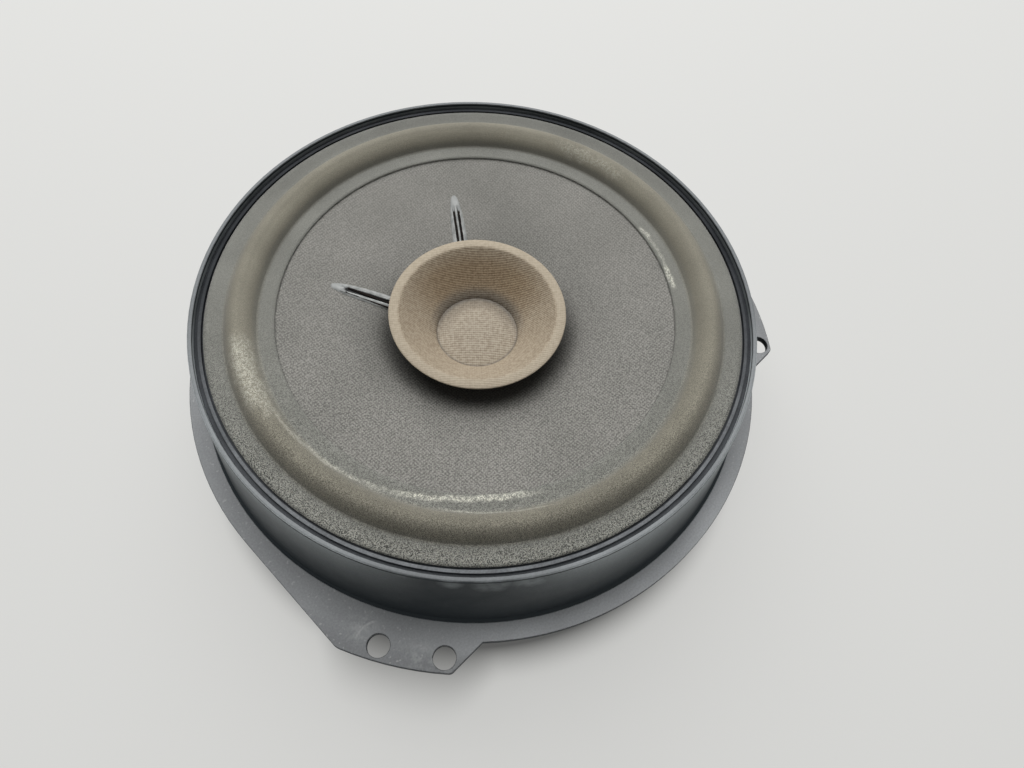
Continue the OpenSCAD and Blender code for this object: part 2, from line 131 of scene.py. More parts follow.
def mesh_piece(name, points, faces, smooth=False):
    """A mesh object from its points in metres and its faces. Smooth ones are turned outwards too."""
    mesh = bpy.data.meshes.new(name)
    mesh.from_pydata(points, [], faces)
    mesh.update()
    if smooth:
        solid = bmesh.new()
        solid.from_mesh(mesh)
        bmesh.ops.recalc_face_normals(solid, faces=solid.faces)
        solid.to_mesh(mesh)
        solid.free()
        mesh.polygons.foreach_set("use_smooth", [True] * len(mesh.polygons))
    piece = bpy.data.objects.new(name, mesh)
    bpy.context.collection.objects.link(piece)
    return piece


def times(tree, colour, factor):
    """A colour or point multiplied by a value or by three."""
    return add(tree, "ShaderNodeVectorMath", {0: colour, 1: factor}, operation="MULTIPLY").outputs[0]


def from_axis(tree, place):
    """Distance from the axis, in metres."""
    level = times(tree, place, (1, 1, 0))
    return add(tree, "ShaderNodeVectorMath", {0: level}, operation="LENGTH").outputs["Value"]


def outward(tree, place):
    """The level direction from the axis to a point."""
    level = times(tree, place, (1, 1, 0))
    return add(tree, "ShaderNodeVectorMath", {0: level}, operation="NORMALIZE").outputs[0]


def along(tree, place, degrees):
    """How far a point or direction reaches in a level direction, which is given by its turn."""
    turn = math.radians(degrees)
    ahead = (math.cos(turn), math.sin(turn), 0)
    return add(tree, "ShaderNodeVectorMath", {0: place, 1: ahead}, operation="DOT_PRODUCT").outputs["Value"]


# White card. The camera, gloss and glass see it pale, and it throws little light back
board, tree, shader, place = material("bench_top_white_card")
# Painted light and shade: the card glows brighter towards the far side, and dimmer where ambient occlusion
# finds the driver close
glow = spread(tree, along(tree, place, 45), -0.16, 0.25, 0.505, 0.57)
near = add(tree, "ShaderNodeAmbientOcclusion", {"Distance": 0.05}, samples=16).outputs["AO"]
glow = product(tree, glow, spread(tree, near, 0.25, 0.75, 0.40, 1.0, smooth=True))
# A painted shadow of the driver starts under the flange and runs out past it, furthest at the front lug
shade_start = 0.0875
bearing = outward(tree, place)
shade_width = maths(tree, "ADD", spread(tree, along(tree, bearing, 235), 0.2, 0.8, 0.0085, 0.011),
                    spread(tree, along(tree, bearing, 213), 0.951, 0.9945, 0.0, 0.013, smooth=True))
run = maths(tree, "DIVIDE", maths(tree, "SUBTRACT", from_axis(tree, place), shade_start), shade_width)
painted_shadow = maths(tree, "POWER", spread(tree, run, 0.0, 1.0, 1.0, 0.0), 1.7)
glow = product(tree, glow, by_share(tree, painted_shadow, 0.18), seen_directly(tree))
fill(tree, shader, {"Base Color": linear("#797978"), "Roughness": 1.0, "Specular IOR Level": 0.0,
                    "Emission Color": linear("#fffffc"), "Emission Strength": glow})
half = 3.0
low = -0.0292
bench_top = mesh_piece("bench_top", [(-half, -half, low), (half, -half, low), (half, half, low),
                                     (-half, half, low)], [(0, 1, 2, 3)])
bench_top.data.materials.append(board)

lamp = bpy.data.lights.new("soft_lamp", "AREA")
lamp.shape = "DISK"
lamp.size = 1.1
lamp.energy = 9.4
lamp_holder = bpy.data.objects.new("soft_lamp", lamp)
heading = math.radians(55)
lift = math.radians(61)
reach = 0.85
level_reach = reach * math.cos(lift)
lamp_holder.location = (level_reach * math.cos(heading), level_reach * math.sin(heading),
                        reach * math.sin(lift))
lamp_holder.rotation_euler = (-lamp_holder.location).to_track_quat("-Z", "Y").to_euler()
bpy.context.collection.objects.link(lamp_holder)

room = bpy.data.worlds.new("room")
room.use_nodes = True
tree = room.node_tree
direction = add(tree, "ShaderNodeTexCoord").outputs["Generated"]
split = add(tree, "ShaderNodeSeparateXYZ", {0: direction})
fade = spread(tree, split.outputs["Z"], 0.05, 1.0, 0.0, 0.23)
# The right side is paler, with a window low down near the front
fade = product(tree, fade, spread(tree, split.outputs["X"], -1.0, 1.0, 0.65, 1.4))
fade = maths(tree, "ADD", fade, spread(tree, split.outputs["Y"], -0.35, -1.0, 0.0, 0.20))
# Seen by the camera or in gloss, the walls are all one pale grey
level = add(tree, "ShaderNodeMix", {0: seen_directly(tree), 2: fade, 3: 0.72}).outputs[0]
fill(tree, tree.nodes["Background"], {"Color": linear("#fdffff"), "Strength": level})
bpy.context.scene.world = room
bpy.context.scene.view_settings.view_transform = "Standard"


# Basket
# One injection moulding in black filled polypropylene: front wall and rim, flange with its lugs, floor,
# spokes and hub. It has aged to a satin grey, with dust and scuffs on the faces that lie upwards.
def dress(piece, paint):
    """Gives every material slot of a piece this finish."""
    if not piece.material_slots:
        piece.data.materials.append(None)
    for slot in piece.material_slots:
        slot.material = paint


def speckle(tree, place, scale, start=0.3, end=0.7, low=0.0, high=1.0, detail=2):
    """Noise with this many lumps to a metre, stretched like a value in spread()."""
    raw = add(tree, "ShaderNodeTexNoise", {"Vector": place, "Scale": scale, "Detail": detail}).outputs[0]
    return spread(tree, raw, start, end, low, high)


def mixed(tree, share, first, second):
    """Two colours, hex codes or sockets, mixed by a share from 0 to 1."""
    pair = [linear(c) if isinstance(c, str) else c for c in (first, second)]
    return add(tree, "ShaderNodeMix", {0: share, 6: pair[0], 7: pair[1]}, data_type="RGBA").outputs[2]


def spot(tree, place, x, y, z, size):
    """1 at a point and 0 beyond its size, all in mm."""
    centre = (x / 1000, y / 1000, z / 1000)
    off = add(tree, "ShaderNodeVectorMath", {0: place, 1: centre}, operation="DISTANCE").outputs["Value"]
    return spread(tree, off, size / 1000, 0.0, smooth=True)


def grain_bump(tree, shader, height, distance, strength=0.6, edge=None):
    """Raises the surface by a height field, in metres, and rounds its edges by a radius if one is given."""
    inputs = {"Strength": strength, "Distance": distance, "Height": height}
    if edge is not None:
        inputs["Normal"] = add(tree, "ShaderNodeBevel", {"Radius": edge}, samples=6).outputs[0]
    fill(tree, shader, {"Normal": add(tree, "ShaderNodeBump", inputs).outputs[0]})


def arc_mark(tree, place, centre, half_turn, radius, half_width, middle=(0, 0)):
    """1 on an arc and 0 off it. Its centre and half turn are in degrees, the rest in mm, from the middle."""
    offset = (middle[0] / 1000, middle[1] / 1000, 0)
    place = add(tree, "ShaderNodeVectorMath", {0: place, 1: offset}, operation="SUBTRACT").outputs[0]
    faded = math.cos(math.radians(half_turn))
    full = math.cos(math.radians(half_turn * 0.4))
    within = spread(tree, along(tree, outward(tree, place), centre), faded, full, smooth=True)
    off = maths(tree, "ABSOLUTE", maths(tree, "SUBTRACT", from_axis(tree, place), radius / 1000))
    return product(tree, within, spread(tree, off, half_width / 1000, 0.2 * half_width / 1000, smooth=True))


def strongest(tree, shares):
    """The highest of several shares, each with its strength."""
    highest = 0.0
    for share, strength in shares:
        highest = maths(tree, "MAXIMUM", highest, product(tree, share, strength))
    return highest


# Moulded polypropylene, spark-eroded mould: a fine satin grain, grey dust lying on it, and dark sides that
# carry dust haze, painted light and painted reflections on the front wall
plastic, tree, shader, place = material("moulded_polypropylene_satin_black")
edge = 0.0005
rounded = add(tree, "ShaderNodeBevel", {"Radius": edge}, samples=6).outputs[0]
up = add(tree, "ShaderNodeSeparateXYZ", {0: rounded}).outputs["Z"]
rise = add(tree, "ShaderNodeSeparateXYZ", {0: place}).outputs["Z"]
out = from_axis(tree, place)
lying = maths(tree, "MAXIMUM", spread(tree, up, 0.78, 0.98, smooth=True), spread(tree, rise, 0.0331, 0.03325))
dust = product(tree, lying, speckle(tree, place, 45, 0.25, 0.75, 0.78, 1.0, detail=4))
# The rim's rounded outer edge is rubbed clean
worn_edge = product(tree, spread(tree, out, 0.0822, 0.0824), spread(tree, rise, 0.03, 0.031))
dust = product(tree, dust, by_share(tree, worn_edge, 0.1))
# Dust haze and painted light that start under the rim and thin out down the wall, with a clean stretch on the
# near side where four soft pale patches of painted reflection are left
haze_and_painted_light = product(tree, spread(tree, rise, 0.022, 0.0325), speckle(tree, place, 60, 0.3, 0.7, 0.20, 0.42))
haze_and_painted_light = product(tree, haze_and_painted_light, by_share(tree, arc_mark(tree, place, 219, 17, 83.0, 12.0), 0.15))
painted_reflection_patches = strongest(tree, [(spot(tree, place, x, y, 31.5, size), strength) for x, y, size, strength in (
    (-69.9, -44.2, 4.5, 0.5), (-61.9, -54.7, 4.5, 0.75),
    (-54.3, -62.2, 7.5, 0.75), (-46.2, -68.4, 9.5, 0.75))])
painted_reflection_patches = product(tree, painted_reflection_patches, speckle(tree, place, 250, 0.35, 0.6, 0.45, 1.0))
haze_and_painted_light = maths(tree, "MAXIMUM", haze_and_painted_light, painted_reflection_patches)
# Painted light makes it paler on the right and left of the near side, fading down to the wall's foot
painted_side_light = strongest(tree, [(arc_mark(tree, place, 275, 48, 83.0, 12.0), 1.15),
                         (arc_mark(tree, place, 176, 44, 83.0, 12.0), 0.95)])
down_wall = maths(tree, "POWER", spread(tree, rise, 0.002, 0.0325), 2.6)
above_foot = spread(tree, rise, 0.0035, 0.0045)
haze_and_painted_light = maths(tree, "MAXIMUM", haze_and_painted_light, product(tree, painted_side_light, down_wall, above_foot))
# A thin painted shadow line runs just under the rim's top, where the haze is left out
off_shadow_line = maths(tree, "ABSOLUTE", maths(tree, "SUBTRACT", rise, 0.0328))
haze_and_painted_light = product(tree, haze_and_painted_light, spread(tree, off_shadow_line, 0.0002, 0.0005))
body = mixed(tree, haze_and_painted_light, "#21282c", "#d8dfe1")
# The upper faces are paler on the flange than on the rim and darker on the lugs' tips; the flange's front
# right is paler still, which is painted light
dust_and_painted_light = mixed(tree, spread(tree, rise, 0.025, 0.005), "#7d8082", "#b0b2b4")
painted_light_front_right = arc_mark(tree, place, 256, 44, 91.0, 8.0)
dust_and_painted_light = times(tree, dust_and_painted_light, spread(tree, painted_light_front_right, 0.0, 1.0, 0.92, 1.52))
dust_and_painted_light = times(tree, dust_and_painted_light, spread(tree, out, 0.0935, 0.098, 1.0, 0.72))
body = mixed(tree, dust, body, dust_and_painted_light)
# Rub marks: a rivet head's arc beside the left fixing hole, and scuffs round it and by the left locating hole
arc = arc_mark(tree, place, 87, 40, 6.5, 0.5, middle=(-82.7, -47.75))
scuff = strongest(tree, [(spot(tree, place, x, y, 2.2, size), strength) for x, y, size, strength in (
    (-82.7, -41.0, 7.0, 0.8), (-76.0, -57.5, 7.0, 0.7), (-72.1, -62.6, 8.0, 0.6))])
scuff = product(tree, scuff, speckle(tree, place, 700, 0.45, 0.62, detail=4))
body = mixed(tree, strongest(tree, [(arc, 0.8), (scuff, 0.6)]), body, "#c4c6c5")
# Grain 0.5 mm across, drawn coarser than the real 0.2 mm so that it shows, and loose pale specks of dust
grain = add(tree, "ShaderNodeTexNoise", {"Vector": place, "Scale": 1800, "Detail": 1}).outputs[0]
body = times(tree, body, spread(tree, grain, 0.3, 0.7, 0.92, 1.08))
flecks = product(tree, lying, speckle(tree, place, 850, 0.66, 0.72, detail=1), spread(tree, rise, 0.03, 0.02))
body = mixed(tree, product(tree, flecks, 0.5), body, "#c9caca")
fill(tree, shader, {"Base Color": body, "Specular IOR Level": 0.28,
                    "Roughness": speckle(tree, place, 160, 0.0, 1.0, 0.52, 0.74, detail=3)})
grain_bump(tree, shader, grain, 0.00006, 0.5, edge)
dress(nodes["basket"], plastic)


# Mounting gasket
# A die-cut strip of black closed-cell foam, glued in the groove of the flange's rear face. It is drawn
# squeezed nearly flush, as it is when the driver is fixed.
def turned(name, section, steps):
    """A closed ring, or a cap that starts and ends on the axis, from its section in mm, radius and height."""
    points = []
    rows = []
    for radius, height in section:
        if radius < 0.001:
            rows.append([len(points)] * steps)
            points.append((0, 0, height / 1000))
            continue
        rows.append(list(range(len(points), len(points) + steps)))
        for k in range(steps):
            turn = 2 * math.pi * k / steps
            points.append((radius * math.cos(turn) / 1000, radius * math.sin(turn) / 1000, height / 1000))
    faces = []
    is_ring = section[0][0] > 0.001
    for row, after in zip(rows, rows[1:] + (rows[:1] if is_ring else [])):
        for k in range(steps):
            corner = [row[k], row[(k + 1) % steps], after[(k + 1) % steps], after[k]]
            face = [c for i, c in enumerate(corner) if c not in corner[:i]]
            if len(face) > 2:
                faces.append(face)
    return mesh_piece(name, points, faces, smooth=True)


# Closed-cell foam: matt black with open cells 0.4 mm across on its cut face
rubbery, tree, shader, place = material("closed_cell_foam_black")
cells = add(tree, "ShaderNodeTexVoronoi", {"Vector": place, "Scale": 2500}).outputs["Distance"]
fill(tree, shader, {"Base Color": mixed(tree, cells, "#17181a", "#3b3d40"), "Roughness": 0.95,
                    "Specular IOR Level": 0.2})
grain_bump(tree, shader, cells, 0.00012)
strip = [(84.5, 0.88), (84.5, 0.22), (84.6, 0.08), (84.8, 0.02), (86.5, 0.0), (88.2, 0.02), (88.4, 0.08),
         (88.5, 0.22), (88.5, 0.88)]
gasket = turned("gasket_foam_strip", strip, 240)
gasket.data.materials.append(rubbery)
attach(gasket, "frame_assembly")
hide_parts("mounting_gasket")


# Seat ring
# A separate moulded ring that is glued on the basket's ledge and carries the surround's edge. Its margin,
# with one thin ridge, lies in the rim's lee, so little dust has reached it.

# The same moulded plastic, darker and cleaner. Along the ridge it is pale on the near side, partly rubbed and
# partly painted light; painted shade of the rim darkens the ring away from the near side, and painted sheen
# makes the near side glossier
clean, tree, shader, place = material("moulded_polypropylene_clean_black")
body = mixed(tree, speckle(tree, place, 90, 0.2, 0.8, detail=3), "#272a2e", "#4a4d51")
painted_light_near_side = arc_mark(tree, place, 228, 105, 80.0, 8.0)
ridge = spread(tree, add(tree, "ShaderNodeSeparateXYZ", {0: place}).outputs["Z"], 0.03190, 0.03218)
ridge = product(tree, ridge, painted_light_near_side, speckle(tree, place, 260, low=0.5))
body = mixed(tree, ridge, body, "#74777a")
grain = add(tree, "ShaderNodeTexNoise", {"Vector": place, "Scale": 1800, "Detail": 1}).outputs[0]
body = times(tree, body, spread(tree, grain, 0.3, 0.7, 0.82, 1.18))
body = times(tree, body, spread(tree, painted_light_near_side, 0.0, 1.0, 0.6, 1.0))
fill(tree, shader, {"Base Color": body, "Roughness": 0.6,
                    "Specular IOR Level": spread(tree, painted_light_near_side, 0.0, 1.0, 0.1, 0.3)})
grain_bump(tree, shader, grain, 0.00006, 0.5, 0.0002)
dress(nodes["surround_seat_ring"], clean)


# Surround
# A pressed sheet of foam-backed cloth, 0.6 mm thick: two flats and one half-round roll. Its inner flat is
# glued on the cone's lip and its outer flat, 1.3 mm higher, on the seat ring.
def ring_sheet(name, sizes, rule, rings, paint, steps=240):
    """A sheet of revolution by Geometry Nodes: a grid wrapped round the axis by a rule for radius and
    height, with its sizes as named inputs."""
    tree = bpy.data.node_groups.new(name, "GeometryNodeTree")
    tree.interface.new_socket("Sheet", in_out="OUTPUT", socket_type="NodeSocketGeometry")
    for label in sizes:
        tree.interface.new_socket(label, in_out="INPUT", socket_type="NodeSocketFloat")
    tree.interface.new_socket("Finish", in_out="INPUT", socket_type="NodeSocketMaterial")
    given = add(tree, "NodeGroupInput")
    grid = add(tree, "GeometryNodeMeshGrid", {"Size X": 1.0, "Size Y": 1.0, "Vertices X": steps + 1,
                                              "Vertices Y": rings + 1}).outputs[0]
    point = add(tree, "ShaderNodeSeparateXYZ", {0: add(tree, "GeometryNodeInputPosition").outputs[0]})
    angle = product(tree, point.outputs["X"], -2 * math.pi)
    radius, height = rule(tree, given.outputs, maths(tree, "ADD", point.outputs["Y"], 0.5))
    east = product(tree, maths(tree, "COSINE", angle), radius)
    north = product(tree, maths(tree, "SINE", angle), radius)
    point = add(tree, "ShaderNodeCombineXYZ", {0: east, 1: north, 2: height}).outputs[0]
    sheet = add(tree, "GeometryNodeSetPosition", {"Geometry": grid, "Position": point}).outputs[0]
    sheet = add(tree, "GeometryNodeMergeByDistance", {"Geometry": sheet, "Distance": 0.000005}).outputs[0]
    sheet = add(tree, "GeometryNodeSetShadeSmooth", {"Geometry": sheet}).outputs[0]
    sheet = add(tree, "GeometryNodeRealizeInstances", {"Geometry": sheet}).outputs[0]
    sheet = add(tree, "GeometryNodeSetMaterial", {"Geometry": sheet, "Material": given.outputs["Finish"]})
    add(tree, "NodeGroupOutput", {0: sheet.outputs[0]})
    piece = mesh_piece(name, [], [])
    made = piece.modifiers.new("shape", "NODES")
    made.node_group = tree
    for socket in tree.interface.items_tree:
        if socket.in_out == "INPUT":
            made[socket.identifier] = paint if socket.name == "Finish" else sizes[socket.name]
    return piece


def settle(piece, thickness, offset):
    """Thickens a sheet and turns its modifiers into its plain mesh."""
    skin = piece.modifiers.new("thickness", "SOLIDIFY")
    skin.thickness = thickness
    skin.offset = offset
    bpy.context.view_layer.update()
    mesh = bpy.data.meshes.new_from_object(piece.evaluated_get(bpy.context.evaluated_depsgraph_get()))
    piece.modifiers.clear()
    piece.data = mesh


def zones(tree, given, across, shares):
    """The radius across a sheet, and how far each of its zones has run. A zone has its label, its start and
    end on the grid, and a bend: where that isn't 0, the radius runs like a half circle's, flattened by it."""
    radius = given["Inner radius"]
    runs = []
    for label, start, end, bend in shares:
        run = spread(tree, across, start, end)
        runs.append(run)
        if bend:
            even = spread(tree, maths(tree, "COSINE", product(tree, run, math.pi)), 1.0, -1.0)
            run = add(tree, "ShaderNodeMix", {0: bend, 2: even, 3: run}).outputs[0]
        radius = maths(tree, "ADD", radius, product(tree, run, given[label]))
    return radius, runs


def roll_rule(tree, given, across):
    """Inner flat, half-round roll with softened feet, and an outer flat that lies higher."""
    radius, runs = zones(tree, given, across, (("Inner flat", 0.0, 0.12, 0), ("Roll width", 0.12, 0.88, 0.4),
                                               ("Outer flat", 0.88, 1.0, 0)))
    swing = product(tree, runs[1], math.pi)
    step = product(tree, spread(tree, maths(tree, "COSINE", swing), 1.0, -1.0), given["Flat step"])
    crest = maths(tree, "SUBTRACT", given["Roll height"], product(tree, given["Flat step"], 0.5))
    lift = product(tree, maths(tree, "POWER", maths(tree, "SINE", swing), 1.4), crest)
    return radius, maths(tree, "ADD", maths(tree, "ADD", lift, step), given["Flat height"])


def flex(piece, inner_mm, outer_mm):
    """Bakes a ring's placement into its mesh. How far each point lies between the outer and inner radius is
    worked out, but it is not kept.
    """
    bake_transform(piece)
    for vertex in piece.data.vertices:
        t = (outer_mm - 1000 * math.hypot(vertex.co.x, vertex.co.y)) / (outer_mm - inner_mm)
        t = min(1.0, max(0.0, t))


# Coated cloth on foam, hot pressed: a dry gritty face, browner where the roll has flexed
foam, tree, shader, place = material("pressed_cloth_and_foam_surround")
out = from_axis(tree, place)
on_roll = product(tree, spread(tree, out, 0.0632, 0.0652), spread(tree, out, 0.0736, 0.0720))
body = mixed(tree, on_roll, "#7f7f79", "#878376")
body = times(tree, body, speckle(tree, place, 60, low=0.9, high=1.08, detail=3))
# Painted shade: darker on the near side's outer flat, and more so on the far side's outer flat and on the
# near side's roll
near_flat = arc_mark(tree, place, 225, 85, 77.0, 6.0)
body = times(tree, body, by_share(tree, near_flat, 0.86))
far_flat = arc_mark(tree, place, 45, 75, 76.6, 4.5)
near_roll = arc_mark(tree, place, 225, 62, 69.0, 5.5)
body = times(tree, body, by_share(tree, maths(tree, "MAXIMUM", far_flat, near_roll), 0.77))
# Painted light and shade: on the far side the roll's inner flank is painted pale and its foot dark
for radius, half_width, factor in ((66.4, 1.6, 1.30), (64.2, 1.1, 0.76)):
    painted_flank_mark = arc_mark(tree, place, 60, 100, radius, half_width)
    body = times(tree, body, by_share(tree, painted_flank_mark, factor))
# Grit 0.3 mm across, coarse and loose on the near side and fine elsewhere
grit = add(tree, "ShaderNodeTexNoise", {"Vector": place, "Scale": 3800, "Detail": 2}).outputs[0]
coarse = strongest(tree, [(arc_mark(tree, place, 225, 95, 70.0, 30.0), 0.45),
                          (arc_mark(tree, place, 225, 95, 78.0, 7.0), 1.0)])
loose = product(tree, maths(tree, "SUBTRACT", spread(tree, grit, 0.34, 0.66), 0.5),
                spread(tree, coarse, 0.0, 1.0, 0.3, 1.9))
body = times(tree, body, maths(tree, "ADD", loose, 1.0))
pale_grit = product(tree, speckle(tree, place, 2300, 0.58, 0.66, detail=1), near_flat, 0.5)
body = mixed(tree, pale_grit, body, "#aeac9f")
# Places rubbed pale, with ragged edges and grit of their own
sway = add(tree, "ShaderNodeTexNoise", {"Vector": place, "Scale": 330, "Detail": 3}).outputs["Color"]
sway = add(tree, "ShaderNodeVectorMath", {0: sway, 1: (0.5, 0.5, 0.5)}, operation="SUBTRACT").outputs[0]
ragged, frayed = [add(tree, "ShaderNodeVectorMath", {0: times(tree, sway, (size, size, 0.0)), 1: place},
                      operation="ADD").outputs[0] for size in (0.004, 0.002)]
rubbed = strongest(tree, [
    (arc_mark(tree, ragged, 158, 12, 68.0, 4.6), 0.55),
    (arc_mark(tree, ragged, 164, 9, 66.4, 2.2), 0.5),
    (arc_mark(tree, frayed, 190, 30, 64.0, 1.0, (-0.9, 5.0)), 0.45),
    (arc_mark(tree, frayed, 226, 13.5, 98.9, 1.25, (24.3, 30.3)), 0.9),
    (arc_mark(tree, frayed, 227, 13, 80.1, 0.45, (14.2, 8.5)), 0.45),
    (arc_mark(tree, frayed, 327.5, 5, 60.2, 1.2), 0.85),
    (arc_mark(tree, frayed, 344.5, 3, 60.3, 0.9), 0.7),
    (arc_mark(tree, frayed, 337, 11, 60.3, 0.8), 0.3),
    (arc_mark(tree, ragged, 12.5, 13, 67.0, 2.0), 0.3)])
rubbed = product(tree, rubbed, speckle(tree, place, 3600, 0.42, 0.56, 0.12, 1.0),
                 speckle(tree, place, 1100, 0.40, 0.54, 0.3, 1.0))
body = mixed(tree, rubbed, body, "#eceadb")
fill(tree, shader, {"Base Color": body, "Roughness": 0.85, "Specular IOR Level": 0.25, "Sheen Weight": 0.15})
grain_bump(tree, shader, grit, 0.00014, 0.9)

sizes = {"Inner radius": 0.059, "Inner flat": 0.005, "Roll width": 0.0089, "Outer flat": 0.00555,
         "Roll height": 0.005, "Flat height": 0.0309, "Flat step": 0.0013}
surround = ring_sheet("surround_sheet", sizes, roll_rule, 42, foam)
settle(surround, 0.0006, -1)
flex(surround, 64.0, 72.9)
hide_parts("surround")


# Spider
# A disc of open cotton cloth, dipped in phenolic resin and pressed hot into five waves. Its collar is glued
# on the coil former and its edge on the basket's hub.
def wave_rule(tree, given, across):
    """Flat collar, even waves, flat edge."""
    radius, runs = zones(tree, given, across, (("Collar", 0.0, 0.05, 0), ("Wave zone", 0.05, 0.94, 0),
                                               ("Edge flat", 0.94, 1.0, 0)))
    swing = product(tree, runs[1], given["Waves"], 2 * math.pi)
    lift = product(tree, maths(tree, "SINE", swing), given["Wave height"])
    return radius, maths(tree, "ADD", lift, given["Middle height"])


# The wave texture draws one band to each 0.314159 / scale, so its scale is that number over the spacing
band = 0.314159
# Phenolic-dipped cotton: honey yellow, open plain weave, threads 0.75 mm apart, slightly glossy
dipped, tree, shader, place = material("phenolic_dipped_cotton")
level_place = times(tree, place, (1, 1, 0))
cross = [add(tree, "ShaderNodeTexWave", {"Vector": level_place, "Scale": band / 0.000754, "Distortion": 0.8,
                                         "Detail": 1}, bands_direction=axis) for axis in "XY"]
weave = product(tree, cross[0].outputs["Fac"], cross[1].outputs["Fac"])
body = mixed(tree, spread(tree, weave, 0.05, 0.5), "#6f4f22", "#c79a4d")
body = times(tree, body, speckle(tree, place, 120, low=0.85, high=1.1, detail=3))
fill(tree, shader, {"Base Color": body, "Roughness": 0.5})
grain_bump(tree, shader, weave, 0.0001)
sizes = {"Inner radius": 0.01285, "Collar": 0.00245, "Wave zone": 0.0199, "Edge flat": 0.0058,
         "Waves": 5.0, "Wave height": 0.0013, "Middle height": 0.00525}
spider = ring_sheet("spider_disc", sizes, wave_rule, 84, dipped, steps=160)
settle(spider, 0.0005, 0)
flex(spider, 15.3, 35.2)
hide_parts("spider")


# Cone
# Pressed paper pulp with a woven facing, 0.8 mm thick, grey-green, nearly flat. Its neck is glued on the coil
# former and its lip is glued under the surround.
paper, tree, shader, place = material("pressed_pulp_woven_facing")
away = along(tree, place, 45)
body = mixed(tree, speckle(tree, place, 40, 0.2, 0.8, detail=4), "#7b7a75", "#8d8b86")
# Painted light: the cone is paler towards the far side
body = times(tree, body, spread(tree, away, -0.055, 0.055, 0.97, 1.10))
# Facing threads 0.82 mm apart each way, with slubs and fibres of about half their spacing
cross = [add(tree, "ShaderNodeTexWave", {"Vector": place, "Scale": band / 0.0008168, "Distortion": 1.5,
                                         "Detail": 1, "Detail Scale": 2.0}, bands_direction=axis)
         for axis in "XY"]
weave = product(tree, cross[0].outputs["Fac"], cross[1].outputs["Fac"])
fibre = speckle(tree, place, 2200, 0.36, 0.64)
rough = add(tree, "ShaderNodeMix", {0: 0.6, 2: weave, 3: fibre}).outputs[0]
# The relief shows most on the near side
relief = product(tree, spread(tree, rough, 0.1, 0.75, -0.38, 0.34), spread(tree, away, -0.03, 0.04, 1.1, 0.5))
body = times(tree, body, maths(tree, "ADD", relief, 1.0))
# Painted shadow of the whizzer cone, darker round the neck on every side but the far one
for radius, half_width, factor in ((25.0, 8.5, 0.42), (27.0, 15.0, 0.77)):
    painted_whizzer_shadow = arc_mark(tree, place, 225, 160, radius, half_width)
    body = times(tree, body, by_share(tree, painted_whizzer_shadow, factor))
# A faint dotted line of glue along the surround's inner edge
seam = product(tree, spread(tree, from_axis(tree, place), 0.05865, 0.05880),
               speckle(tree, place, 900, 0.40, 0.52, 0.1, 0.5))
body = mixed(tree, seam, body, "#454542")
fill(tree, shader, {"Base Color": body, "Roughness": 0.85, "Specular IOR Level": 0.25})
grain_bump(tree, shader, rough, 0.00009, 0.8)
dress(nodes["cone"], paper)


# Whizzer cone and dust cap
# Tan cotton cloth stiffened with resin and pressed to shape. The threads stay straight as seen from the
# front, and close up on the steep wall. The foot is glued to the cone's neck, and the cap closes the coil
# former.
def thread_map(piece, run):
    """Lays cloth on a piece: a UV map of straight threads, in metres, turned 45 degrees from the terminals'
    line. run(radius) gives how far along the cloth a point lies from the middle, in mm."""
    layer = piece.data.uv_layers.new(name="threads")
    half = math.sqrt(0.5)
    for loop in piece.data.loops:
        point = piece.data.vertices[loop.vertex_index].co
        radius = math.hypot(point.x, point.y)
        scale = run(radius * 1000) / 1000 / max(radius, 1e-6)
        x = (point.x - point.y) * half * scale
        y = (point.x + point.y) * half * scale
        layer.data[loop.index].uv = (x, y)


# Resin-stiffened plain weave, pressed: tan threads with dark gaps, matt, ribs 0.76 mm apart one way and
# 0.58 mm the other, uneven where the yarn is thick
cloth, tree, shader, place = material("resin_stiffened_cotton_weave")
threads = add(tree, "ShaderNodeUVMap", uv_map="threads").outputs[0]
ribs, cords = [add(tree, "ShaderNodeTexWave", {"Vector": threads, "Scale": band / spacing, "Distortion": 1.2,
                                               "Detail": 2, "Detail Scale": 1.5}, bands_direction=axis)
               for axis, spacing in (("Y", 0.00076), ("X", 0.00058))]
weave = add(tree, "ShaderNodeMix", {0: 0.3, 2: ribs.outputs["Fac"], 3: cords.outputs["Fac"]}).outputs[0]
slub = speckle(tree, place, 1100, 0.35, 0.65, detail=3)
rough = add(tree, "ShaderNodeMix", {0: 0.4, 2: weave, 3: slub}).outputs[0]
body = mixed(tree, spread(tree, rough, 0.1, 0.8), "#8a7b68", "#b6a995")
# The whizzer cone's lip is paler
out = from_axis(tree, place)
body = mixed(tree, product(tree, spread(tree, out, 0.0233, 0.0242), 0.5), body, "#bbb09d")
# The cap has faded greyer than the cone's cloth, and glue has darkened its edge. Painted shade darkens that
# edge more on the far side, and darkens and browns the far wall and the cap's far part
on_cap = spread(tree, out, 0.0126, 0.0123)
off_joint = maths(tree, "ABSOLUTE", maths(tree, "SUBTRACT", out, 0.01255))
painted_far_edge_shadow = arc_mark(tree, place, 45, 110, 13.0, 2.6)
glue_line_and_shadow = maths(tree, "MAXIMUM", spread(tree, off_joint, 0.0006, 0.0), painted_far_edge_shadow)
painted_far_wall_shade = arc_mark(tree, place, 45, 85, 18.0, 6.0)
painted_far_cap_shade = arc_mark(tree, place, 45, 110, 11.2, 4.5)
for share, tint in ((on_cap, (0.96, 1.0, 1.06, 1)), (glue_line_and_shadow, (0.66, 0.69, 0.75, 1)),
                    (painted_far_wall_shade, (0.80, 0.73, 0.64, 1)), (painted_far_cap_shade, (0.74, 0.74, 0.74, 1))):
    body = times(tree, body, mixed(tree, share, (1, 1, 1, 1), tint))
fill(tree, shader, {"Base Color": body, "Roughness": 0.8, "Specular IOR Level": 0.3})
grain_bump(tree, shader, rough, 0.0001, 0.8)


